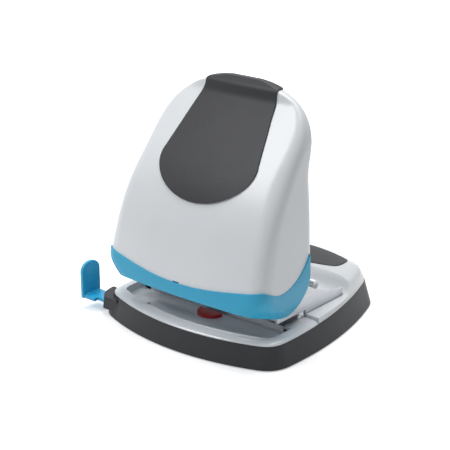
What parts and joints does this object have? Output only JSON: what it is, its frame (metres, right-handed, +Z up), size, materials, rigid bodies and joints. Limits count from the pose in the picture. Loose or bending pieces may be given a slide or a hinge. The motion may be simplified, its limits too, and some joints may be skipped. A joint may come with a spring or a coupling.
{
  "type": "two-hole punch",
  "caption": "Desk two-hole punch with a tall palm lever over a rounded base, sliding paper guide and hinged chip tray.",
  "frame": {"origin": "centre of the base outline, on the plane the rubber feet stand on", "axes": "+Z up; -Y is the front, where paper goes in under the lever; +X is to the right seen from the front"},
  "size_m": [0.1577, 0.1543, 0.1547],
  "materials": {
    "white_plastic": "glossy white ABS",
    "blue_plastic": "glossy blue plastic, lightly moulded grain",
    "guide_plastic": "blue plastic of the paper guide",
    "dark_plastic": "matt dark grey plastic",
    "soft_grip": "soft-touch dark grey inlay",
    "feet_rubber": "black non-slip rubber",
    "steel_sheet": "grey lacquered steel sheet",
    "bright_steel": "bright ground steel",
    "spring_steel": "spring wire",
    "red_plastic": "glossy red",
    "mark_plastic": "grey moulded mark"
  },
  "bodies": {
    "base": {"lower_housing": "dark_plastic", "housing_web": "dark_plastic", "rubber_feet": "feet_rubber", "frame_screws": "bright_steel", "tray_hinge_pins": "bright_steel", "deck_cover": "white_plastic", "rear_pad": "soft_grip", "centre_mark": "red_plastic", "position_marks": "mark_plastic", "base_plate": "steel_sheet", "cheek_right": "steel_sheet", "cheek_left": "steel_sheet", "die_plate": "bright_steel", "die_bush_right": "bright_steel", "die_bush_left": "bright_steel", "upper_jaw": "steel_sheet", "paper_stop_right": "steel_sheet", "paper_stop_left": "steel_sheet", "pivot_bracket_right": "steel_sheet", "pivot_bracket_left": "steel_sheet", "pivot_shaft": "bright_steel", "pivot_clips": "spring_steel", "pivot_washers": "bright_steel", "guide_retainer": "dark_plastic", "return_spring_right": "spring_steel", "return_spring_left": "spring_steel"},
    "handle": {"handle_cover": "white_plastic", "handle_band": "blue_plastic", "grip_pad": "soft_grip", "press_bar": "bright_steel", "carrier_plate": "steel_sheet", "lever_arm_right": "steel_sheet", "lever_arm_left": "steel_sheet", "handle_screws": "bright_steel"},
    "right_punch": {"punch_right": "bright_steel"},
    "left_punch": {"punch_left": "bright_steel"},
    "guide": {"paper_guide": "guide_plastic"},
    "tray": {"chip_tray": "dark_plastic"}
  },
  "joints": [
    {"name": "handle_hinge", "type": "hinge", "parent": "base", "child": "handle", "pos_m": [0, 0.006, 0.028], "axis": [1, 0, 0], "range_deg": [0, 10.3], "stiffness_Nm_per_rad": 1.85, "springref_deg": -8.59},
    {"name": "right_punch_slide", "type": "slide", "parent": "base", "child": "right_punch", "axis": [0, 0, -1], "range_m": [0, 0.0065], "deforming": ["return_spring_right"]},
    {"name": "left_punch_slide", "type": "slide", "parent": "base", "child": "left_punch", "axis": [0, 0, -1], "range_m": [0, 0.0065], "deforming": ["return_spring_left"]},
    {"name": "guide_slide", "type": "slide", "parent": "base", "child": "guide", "axis": [-1, 0, 0], "range_m": [0, 0.062]},
    {"name": "tray_hinge", "type": "hinge", "parent": "base", "child": "tray", "pos_m": [0, 0.0645, 0.0036], "axis": [1, 0, 0], "range_deg": [0, 75]}
  ],
  "couplings": [
    {"joint": "right_punch_slide", "follows": "handle_hinge", "m_per_rad": 0.035},
    {"joint": "left_punch_slide", "follows": "handle_hinge", "m_per_rad": 0.035}
  ]
}
